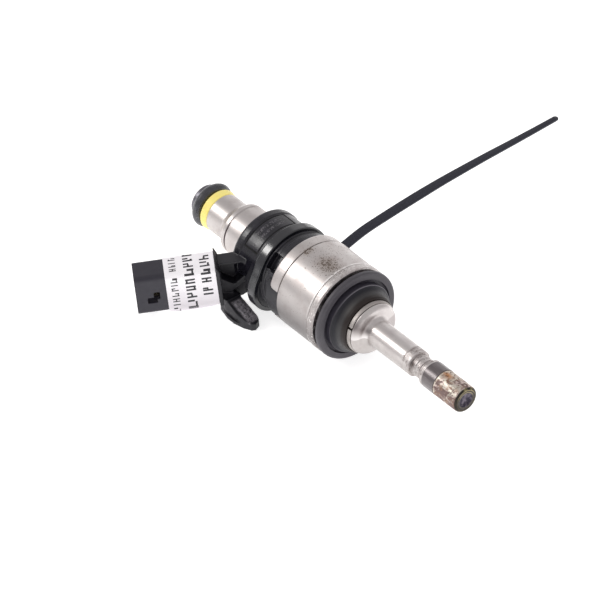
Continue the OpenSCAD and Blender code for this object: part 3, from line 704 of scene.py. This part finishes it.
def moulded_copy(node, voxel, material, faces, smooth_steps):
    """The CAD solid with its edges softened as a mould leaves them: remeshed finely, then eased.

    voxel is in millimetres, and faces is the share of the faces that stay."""
    mesh = NODES[node].data.copy()
    mesh.materials.clear()
    piece = bpy.data.objects.new(node + "_moulded", mesh)
    bpy.context.scene.collection.objects.link(piece)
    weld = piece.modifiers.new("weld", "WELD")
    weld.merge_threshold = 2e-6
    remesh = piece.modifiers.new("remesh", "REMESH")
    remesh.mode = "VOXEL"
    remesh.voxel_size = voxel * MM
    ease = piece.modifiers.new("ease", "SMOOTH")
    ease.factor, ease.iterations = 0.5, smooth_steps
    thin = piece.modifiers.new("thin", "DECIMATE")
    thin.ratio = faces
    graph = bpy.context.evaluated_depsgraph_get()
    made = bpy.data.meshes.new_from_object(piece.evaluated_get(graph))
    piece.modifiers.clear()
    piece.data = made
    made.materials.clear()
    made.materials.append(material)
    made.shade_smooth()
    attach(piece, "body")
    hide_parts(node)


# ---------------------------------------------------------------- pieces
# Profiles are [distance back from the spray tip, radius] in millimetres.
ORING_AT = 84.7
ORING_SECTION = 1.22
SEAL_FRONT, SEAL_REAR = 7.42, 11.05
TUBE_RADIUS = 3.03


def arc(d, r, radius, a0, a1, steps=6):
    """Points on an arc about [d, r]; angles in degrees, 0 outwards from the axis and 90 to the rear."""
    angles = [math.radians(a0 + (a1 - a0) * i / steps) for i in range(steps + 1)]
    return [(d + radius * math.sin(a), r + radius * math.cos(a)) for a in angles]


def make_inlet(steel):
    """Inlet stem: rim, O-ring groove, neck, cone, grooved bead and a sleeve that runs into the body."""
    end, rim, groove, neck, sleeve, bore = 87.5, 3.65, 2.65, 4.5, 5.87, 1.7
    groove_rear, groove_front = ORING_AT + 1.27, 81.1
    profile = [(end - 0.5, bore), (end, bore + 0.4)] + arc(end - 0.5, rim - 0.5, 0.5, 90, 0)
    profile += [(groove_rear, rim), (groove_rear, groove), (groove_front, groove), (groove_front, neck)]
    profile += [(76.4, neck), (76.0, 4.65), (74.9, 5.62), (74.5, sleeve)]
    profile += [(73.67, sleeve), (73.57, 5.72), (73.33, 5.72), (73.23, sleeve), (54.2, sleeve)]
    profile += [(54.2, 4.22), (66.02, 4.22), (66.02, 2.2), (77, 2.2), (77.5, bore)]
    turned_piece("inlet_tube", profile, steel, 144, 0.1)


def make_rings(rubber_black, yellow, sleeve):
    """O-ring, backup ring and combustion seal."""
    centre, steps = 2.65 + ORING_SECTION + 0.02, 40
    points = []
    for k in range(steps):
        a = 2 * math.pi * k / steps
        bulge = 0.02 if abs(math.cos(a)) > 0.99 else 0
        points.append((ORING_AT + ORING_SECTION * math.sin(a),
                       centre + (ORING_SECTION + bulge) * math.cos(a)))
    turned_piece("inlet_oring", points, rubber_black, 144, 0.01)
    backup = [(81.12, 2.67), (81.12, 4.4), (81.25, 4.52), (82.75, 4.75), (83.0, 4.6), (83.0, 2.67)]
    turned_piece("backup_ring", backup, yellow, 144, 0.08)
    seal = [(SEAL_FRONT, 2.52), (SEAL_FRONT, 3.1), (SEAL_FRONT + 0.05, 3.15), (SEAL_REAR - 0.05, 3.15),
            (SEAL_REAR, 3.1), (SEAL_REAR, 2.52)]
    turned_piece("combustion_seal", seal, sleeve, 128, 0.06)


def make_housing(steel):
    """Can round the coil, with a rolled band at its front end."""
    front, step, rear, outer, hole = 38.45, 41.2, 50.4, 10.35, 5.22

    def rolled(d, r, turn):
        # The front band is rolled over, with shallow dents round it.
        if r > 10 and d < 40.5:
            a = math.radians(turn)
            r += 0.02 * noise.noise(Vector((math.cos(a) * 9, math.sin(a) * 9, d)))
        return d, r
    profile = [(front, hole), (front, 10.15), (38.7, 10.45), (40.15, 10.47), (40.25, 10.25), (40.4, 10.25),
               (40.5, outer), (rear - 0.1, outer), (rear, 10.2), (rear, 8.8), (step, 8.8), (step, hole)]
    turned_piece("solenoid_housing", profile, steel, 224, 0.09, shape=rolled)


def make_nozzle(polished, tip):
    """Valve body with its dome, tube, stepped neck and seal groove, and the seat that closes its tip."""
    tube, bore, collar = TUBE_RADIUS, 1.95, 5.4
    neck, neck_low, neck_groove, tube_front = 2.45, 2.23, 2.3, 15.75
    quarter = [math.radians(90 * i / 10) for i in range(11)]
    dome = [(30.95 - 1.15 * math.sin(a), 4.1 + 1.9 * math.cos(a)) for a in quarter]
    profile = [(46.58, 4.22), (46.58, 5.2), (38.3, 5.2), (38.2, collar), (32.2, collar), (32.2, 4.8),
               (31.1, 4.8), (31.1, 5.85)] + dome + arc(28.7, 4.13, 1.1, 90, 180, 8)
    # A fine line round the tube, the steps of the neck, then the groove for the combustion seal.
    profile += [(17.75, tube), (17.65, 2.99), (17.55, 2.99), (17.45, tube), (tube_front, tube)]
    profile += [(15.5, 2.8), (15.5, neck), (14.3, neck), (14.2, neck_low), (13.7, neck_low), (13.6, neck)]
    profile += [(12.95, neck), (12.85, neck_groove), (12.6, neck_groove), (12.5, neck), (12.3, neck)]
    profile += [(12.0, 2.9), (11.8, 3.1), (SEAL_REAR + 0.02, 3.1), (SEAL_REAR + 0.02, 2.5), (SEAL_FRONT, 2.5)]
    profile += [(SEAL_FRONT, bore), (38.6, bore), (39.2, 2.55), (39.2, 4.22)]
    turned_piece("valve_body", profile, polished, 144, 0.07)
    seat = [(0.55, 0.0), (0.55, 1.2), (0.05, 1.75), (0.0, 2.2)] + arc(0.75, 2.35, 0.75, -90, 0, 8)
    seat += [(7.2, 3.1), (7.4, tube), (7.4, bore), (2.683, bore), (1.183, 0.45), (1.183, 0.0)]
    turned_piece("valve_seat", seat, tip, 144, 0.05)


def make_support_ring(material):
    """Flared ring round the nozzle's root: a rounded bowl, a groove and an outer lip."""
    front, rear, inner, lip_rear, seat = 32.22, 37.9, 5.42, 37.45, 36.8
    profile = [(front, inner), (front, 6.45), (32.6, 6.75), (33.6, 6.9), (34.3, 7.15), (34.8, 7.5)]
    profile += [(35.1, 7.9), (35.2, 8.08), (35.45, 8.12), (seat, 8.1), (seat, 8.85), (36.2, 8.85)]
    profile += [(36.2, 9.95), (36.33, 10.3), (36.7, 10.45), (37.3, 10.45), (lip_rear, 10.3)]
    profile += [(lip_rear, 9.4), (rear, 9.4), (rear, inner)]
    turned_piece("support_ring", profile, material, 224, 0.09)


def connector_frame():
    """Origin on the axis, then the outward, sideways and upward directions of the connector, in metres."""
    mouth_from_axis = 33.5
    mount = MOUNTS["plug_socket"]
    out = Vector(mount["axis"]).normalized()
    side = Vector((-out.y, out.x, 0)).normalized()
    up = out.cross(side)
    return Vector(mount["pos_m"]) - out * mouth_from_axis * MM, out, side, up


def rounded_outline(wide, tall, radius, step):
    """Points round a rectangle with rounded corners, about `step` apart, with their outward normals."""
    made = []
    corners = [(1, 1, 0), (-1, 1, 90), (-1, -1, 180), (1, -1, 270)]
    for i, (sy, sz, a0) in enumerate(corners):
        centre = Vector((sy * (wide / 2 - radius), sz * (tall / 2 - radius)))
        for k in range(9):
            a = math.radians(a0 + 90 * k / 8)
            normal = Vector((math.cos(a), math.sin(a)))
            made.append((centre + normal * radius, normal))
        last, normal = made[-1]
        sy2, sz2, a2 = corners[(i + 1) % 4]
        first = Vector((sy2 * (wide / 2 - radius), sz2 * (tall / 2 - radius))) + \
            Vector((math.cos(math.radians(a2)), math.sin(math.radians(a2)))) * radius
        count = max(1, int((first - last).length / step))
        made += [(last.lerp(first, k / count), normal) for k in range(1, count)]
    return made


# The label runs from LABEL_NEAR to LABEL_FAR out along the connector, round a shell of that size.
LABEL_NEAR, LABEL_FAR = 16.15, 26.9
LABEL_WIDE, LABEL_TALL, LABEL_THICK = 6.54, 9.84, 0.13
# Print: the middle of each row, its height, where it starts round the shell, its stroke width and the
# widths of its marks, where 0 is a space. Length 0 is at the top of the face that looks sideways.
LABEL_ROWS = [(25.1, 1.5, -8.4, 0.26, [1.0, .3, .9, .9, .8, .3, 1.0, 0, .8, .6, .5, .8]),
              (21.7, 2.1, -7.9, 0.46, [1.9, 1.4, 1.3, 1.3, 1.4, 1.4, 1.2, 1.2]),
              (18.2, 2.1, -5.2, 0.46, [.46, 1.0, 0, 1.3, 1.1, 1.7, 1.5])]
LABEL_SPACE, LABEL_GAP = 0.8, 0.56


def label_lift(x, p):
    """How far the paper stands off the shell, in millimetres: a slight wave, and a sag below."""
    wave = 0.05 * (noise.noise(Vector((x * 0.28, p.x * 0.3, p.y * 0.3))) + 0.6)
    along = math.sqrt(math.sin(math.pi * min(1, max(0, (x - 16.1) / 10.8))))
    under = 0.55 * math.exp(-((p.y + 4.9) / 1.2) ** 2) * along
    return max(0.0, wave) + max(0.0, under)


def make_label(paper, ink):
    """Paper sleeve round the connector, with three rows of plain strokes that stand for words."""
    origin, out, side, up = connector_frame()
    outline = rounded_outline(LABEL_WIDE, LABEL_TALL, 1.1, 0.25)
    columns = 44

    def place(x, p, n, off):
        q = p + n * off
        return origin + (out * x + side * q.x + up * q.y) * MM
    bm = bmesh.new()
    along = [LABEL_NEAR + (LABEL_FAR - LABEL_NEAR) * c / columns for c in range(columns + 1)]
    inner = [[bm.verts.new(place(x, p, n, 0.01)) for p, n in outline] for x in along]
    outer = [[bm.verts.new(place(x, p, n, LABEL_THICK + label_lift(x, p))) for p, n in outline]
             for x in along]
    count = len(outline)
    for rows in (inner, outer):
        for a, b in zip(rows, rows[1:]):
            for i in range(count):
                j = (i + 1) % count
                bm.faces.new((a[i], a[j], b[j], b[i]))
    for c in (0, columns):
        for i in range(count):
            j = (i + 1) % count
            bm.faces.new((inner[c][i], inner[c][j], outer[c][j], outer[c][i]))
    piece = link("label_wrap", to_mesh("label", bm), paper)
    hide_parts("paper_label")

    length = [0.0]
    for i in range(1, count):
        length.append(length[-1] + (outline[i][0] - outline[i - 1][0]).length)

    def at(s):
        """Point and normal at length s round the shell."""
        s = s % length[-1]
        for i in range(1, count):
            if s <= length[i]:
                (p0, n0), (p1, n1) = outline[i - 1], outline[i]
                t = (s - length[i - 1]) / (length[i] - length[i - 1])
                return p0.lerp(p1, t), n0.lerp(n1, t).normalized()
        return outline[-1]

    rng = random.Random(4)
    bm = bmesh.new()

    def patch(x, tall, s, wide):
        """A patch of ink that lies on the paper."""
        across = max(2, int(wide / 0.25) + 1)
        grid = []
        for a in range(across + 1):
            p, n = at(s + wide * a / across)
            grid.append([bm.verts.new(place(xx, p, n, LABEL_THICK + 0.012 + label_lift(xx, p)))
                         for xx in (x - tall / 2 + tall * b / 8 for b in range(9))])
        for a in range(across):
            for b in range(8):
                bm.faces.new((grid[a][b], grid[a + 1][b], grid[a + 1][b + 1], grid[a][b + 1]))
    for x, tall, s, stroke, marks in LABEL_ROWS:
        for wide in marks:
            if wide == 0:
                s += LABEL_SPACE
                continue
            patch(x, tall, s, stroke)
            if wide > 2 * stroke:
                short = tall * rng.choice((0.55, 0.7, 1.0))
                patch(x + (tall - short) / 2 * rng.choice((-1, 1)), short, s + wide - stroke, stroke)
                bar = x + rng.choice((-0.35, 0.0, 0.35)) * tall
                patch(bar, stroke * 0.9, s + stroke, wide - 2 * stroke)
            s += wide + LABEL_GAP
    bm.normal_update()
    printed = link("label_print", bare_mesh("label_print", bm), ink)


def smooth_path(points, each):
    """A smooth curve through the points, with that many steps between two of them."""
    made = []
    for i in range(len(points) - 1):
        p = [Vector(points[max(0, min(len(points) - 1, i + k))]) for k in (-1, 0, 1, 2)]
        for k in range(each):
            t = k / each
            made.append(0.5 * (2 * p[1] + (p[2] - p[0]) * t + (2 * p[0] - 5 * p[1] + 4 * p[2] - p[3]) * t * t
                               + (3 * p[1] - p[0] - 3 * p[2] + p[3]) * t ** 3))
    return made + [Vector(points[-1])]


TIE_AT, TIE_WIDE, TIE_RADIUS = 58.5, 2.3, 8.57
# Where the arm is rooted: its angle round the axis, how far out its circle's middle lies, and how much
# smaller that circle is than the strap's.
SADDLE_TURN, SADDLE_OUT, SADDLE_DROP = 208, 4.4, 2.65
# The tail's way from the head, as [y, z] in millimetres.
TAIL = [(12.4, -3.0), (15.5, -2.1), (18.4, -1.2), (21.7, -0.5), (28, 0.35), (34.6, 1.1),
        (41, 1.7), (47.6, 2.1), (54, 2.4), (60.6, 2.6), (67, 2.85), (73.3, 3.15)]
TAIL_WIDE, TAIL_NARROW, TAPER_FROM = 2.4, 1.25, 0.46
TAIL_HALF_THICK, TOOTH = 0.3, 0.05


def over_saddle(radius, turn):
    """How far out the strap lies at that angle: a circle drawn out over the side where the arm is rooted."""
    nearest = 1e9
    for step in range(-76, 77, 2):
        lean = math.radians(step)
        away = math.radians(turn + step - SADDLE_TURN)
        reach = max(radius, SADDLE_OUT * math.cos(away) + radius - SADDLE_DROP)
        nearest = min(nearest, reach / math.cos(lean))
    return nearest


def squarer(c):
    """A sine or cosine pushed towards 1 or -1, which turns an oval into an eased rectangle."""
    return math.copysign(abs(c) ** 0.3, c)


def make_tie(plastic_black, tail_painted_light):
    """Cable tie: the strap round the body, its head behind the body and the long loose tail."""
    half, thick = TIE_WIDE / 2, 1.08
    strap = [(TIE_AT - half, TIE_RADIUS), (TIE_AT - half, TIE_RADIUS + thick - 0.15),
             (TIE_AT - half + 0.2, TIE_RADIUS + thick), (TIE_AT + half - 0.2, TIE_RADIUS + thick),
             (TIE_AT + half, TIE_RADIUS + thick - 0.15), (TIE_AT + half, TIE_RADIUS)]
    turned_piece("cable_tie", strap, plastic_black, 192, 0.12, name="tie_strap",
                 shape=lambda d, r, turn: (d, over_saddle(r, turn)))
    # Head: a small box with eased edges.
    bm = bmesh.new()
    bmesh.ops.create_cube(bm, size=1)
    bmesh.ops.scale(bm, vec=Vector((4, 4.0, 4.4)) * MM, verts=bm.verts)
    bmesh.ops.bevel(bm, geom=bm.edges[:], offset=0.45 * MM, segments=4, profile=0.5, affect="EDGES")
    bmesh.ops.translate(bm, vec=Vector((TIP - TIE_AT, 11.35, -3.2)) * MM, verts=bm.verts)
    head = link("tie_head", to_mesh("tie_head", bm), plastic_black)
    # Tail: a flat strap with eased edges that narrows along its outer half, teeth below and a rounded point.
    path = smooth_path(TAIL, 22)
    total, sides = len(path) - 1, 20
    bm = bmesh.new()
    rings = []
    for i, p in enumerate(path):
        t = i / total
        ahead = (path[min(total, i + 1)] - path[max(0, i - 1)]).normalized()
        normal = Vector((-ahead.y, ahead.x))
        taper = max(0.0, (t - TAPER_FROM) / (1 - TAPER_FROM))
        end = max(0.0, (t - 0.985) / 0.015)
        w = (TAIL_WIDE - (TAIL_WIDE - TAIL_NARROW) * taper) / 2
        w = max(0.05, w * math.sqrt(max(0.0, 1 - end * end)))
        h = TAIL_HALF_THICK * (1 - 0.6 * end)
        notch = TOOTH if (i % 4) < 2 and 0.06 < t < 0.93 else 0.0
        ring = []
        for k in range(sides):
            a = 2 * math.pi * k / sides
            u = w * squarer(math.cos(a))
            v = h * squarer(math.sin(a))
            if v < -0.8 * h and abs(u) < 0.6 * w:
                v += notch
            ring.append(bm.verts.new(Vector((TIP - TIE_AT + u, p.x + normal.x * v, p.y + normal.y * v)) * MM))
        rings.append(ring)
    skin(bm, rings)
    tail = link("tie_tail", to_mesh("tie_tail", bm), tail_painted_light, smooth=50)


def make_spring(node, radius, wire, turns, metal):
    """Coil spring in place of its node, drawn with round wire, in millimetres.

    Its end turns lie flat."""
    travel, flat_turns, steps, sides = 0.09, 0.75, 32, 14
    ends = [v.co.x for v in NODES[node].data.vertices]
    front, rear = max(ends), min(ends)
    span = front - rear - wire * MM
    bm = bmesh.new()
    rings = []
    for i in range(round(turns * steps) + 1):
        t = i / steps
        share = min(1.0, max(0.0, (t - flat_turns) / (turns - 2 * flat_turns)))
        middle = front - wire / 2 * MM - span * share
        a = 2 * math.pi * t
        ring = []
        for k in range(sides):
            b = 2 * math.pi * k / sides
            r = (radius + wire / 2 * math.cos(b)) * MM
            x = middle - wire / 2 * MM * math.sin(b)
            ring.append(bm.verts.new((x, r * math.cos(a), r * math.sin(a))))
        rings.append(ring)
    skin(bm, rings)
    spring = link(node + "_coil", to_mesh(node + "_coil", bm), metal, smooth=60)
    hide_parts(node)
    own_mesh(spring)


def make_floor(paint):
    """A wide plane just under the object."""
    bm = bmesh.new()
    bmesh.ops.create_grid(bm, x_segments=8, y_segments=8, size=3)
    bmesh.ops.translate(bm, vec=(0, 0, FLOOR_Z - 0.00002), verts=bm.verts)
    mesh = bare_mesh("floor", bm)
    mesh.materials.append(paint)
    floor = bpy.data.objects.new("floor", mesh)
    bpy.context.scene.collection.objects.link(floor)


# ---------------------------------------------------------------- build
make_camera()
make_light()
make_floor(floor_paint())
steel = inlet_steel()
polished = nozzle_steel()
housing = housing_steel()
black = body_plastic()
ring_black = ring_plastic()
snap_steel = turned_steel("snap_steel", (0.47, 0.44, 0.42), (0.40, 0.365, 0.35), 0.50).material
tie_black = tie_plastic("tie_plastic", 0.9)
# The tail is the same nylon as the strap: a lighter copy with painted light.
tail_painted_light = tie_plastic("tail_plastic", 0.35, 3.2)
make_inlet(steel)
make_rings(rubber("seal_rubber", (0.018, 0.019, 0.026)), yellow_plastic(), seal_sleeve())
make_housing(housing)
make_nozzle(polished, tip_steel())
make_support_ring(ring_black)
make_label(label_paper(), label_ink())
make_tie(tie_black, tail_painted_light)
moulded_copy("moulded_body", 0.1, black, 0.3, 3)
moulded_copy("cap_band", 0.11, housing, 0.5, 2)
moulded_copy("snap_ring", 0.07, snap_steel, 0.5, 2)

# Materials of the pieces that stay as the CAD made them.
INSIDE = {
    "inlet_strainer": plain_metal("strainer_mesh", (0.45, 0.43, 0.38), (0.36, 0.34, 0.30), 0.5, 0.0),
    "adjusting_sleeve": steel,
    "closing_spring": plain_metal("spring_steel", (0.55, 0.54, 0.53), (0.42, 0.41, 0.40), 0.3),
    "pole_core": plain_metal("magnetic_steel", (0.50, 0.48, 0.46), (0.42, 0.40, 0.39), 0.38),
    "coil_bobbin": plastic("bobbin_plastic", (0.09, 0.09, 0.10), (0.12, 0.12, 0.13), 0.5).material,
    "coil_winding": plain_metal("copper", (0.72, 0.36, 0.18), (0.58, 0.26, 0.12), 0.28),
    "terminal_upper": plain_metal("terminal_metal", (0.74, 0.66, 0.45), (0.62, 0.54, 0.36), 0.25),
}
# Inner pieces that look like another one.
SAME = {
    "spacer_ring": "adjusting_sleeve",
    "armature": "pole_core",
    "armature_spring": "closing_spring",
    "terminal_lower": "terminal_upper",
    "needle_stop": "adjusting_sleeve",
    "lower_stop": "adjusting_sleeve",
    "needle_guide": "adjusting_sleeve",
}
for node, like in SAME.items():
    INSIDE[node] = INSIDE[like]
for node in ("needle", "valve_ball"):
    INSIDE[node] = polished
for node, material in INSIDE.items():
    NODES[node].data.materials.clear()
    NODES[node].data.materials.append(material)

make_spring("closing_spring", 1.45, 0.5, 8, INSIDE["closing_spring"])
make_spring("armature_spring", 1.45, 0.22, 3.5, INSIDE["armature_spring"])
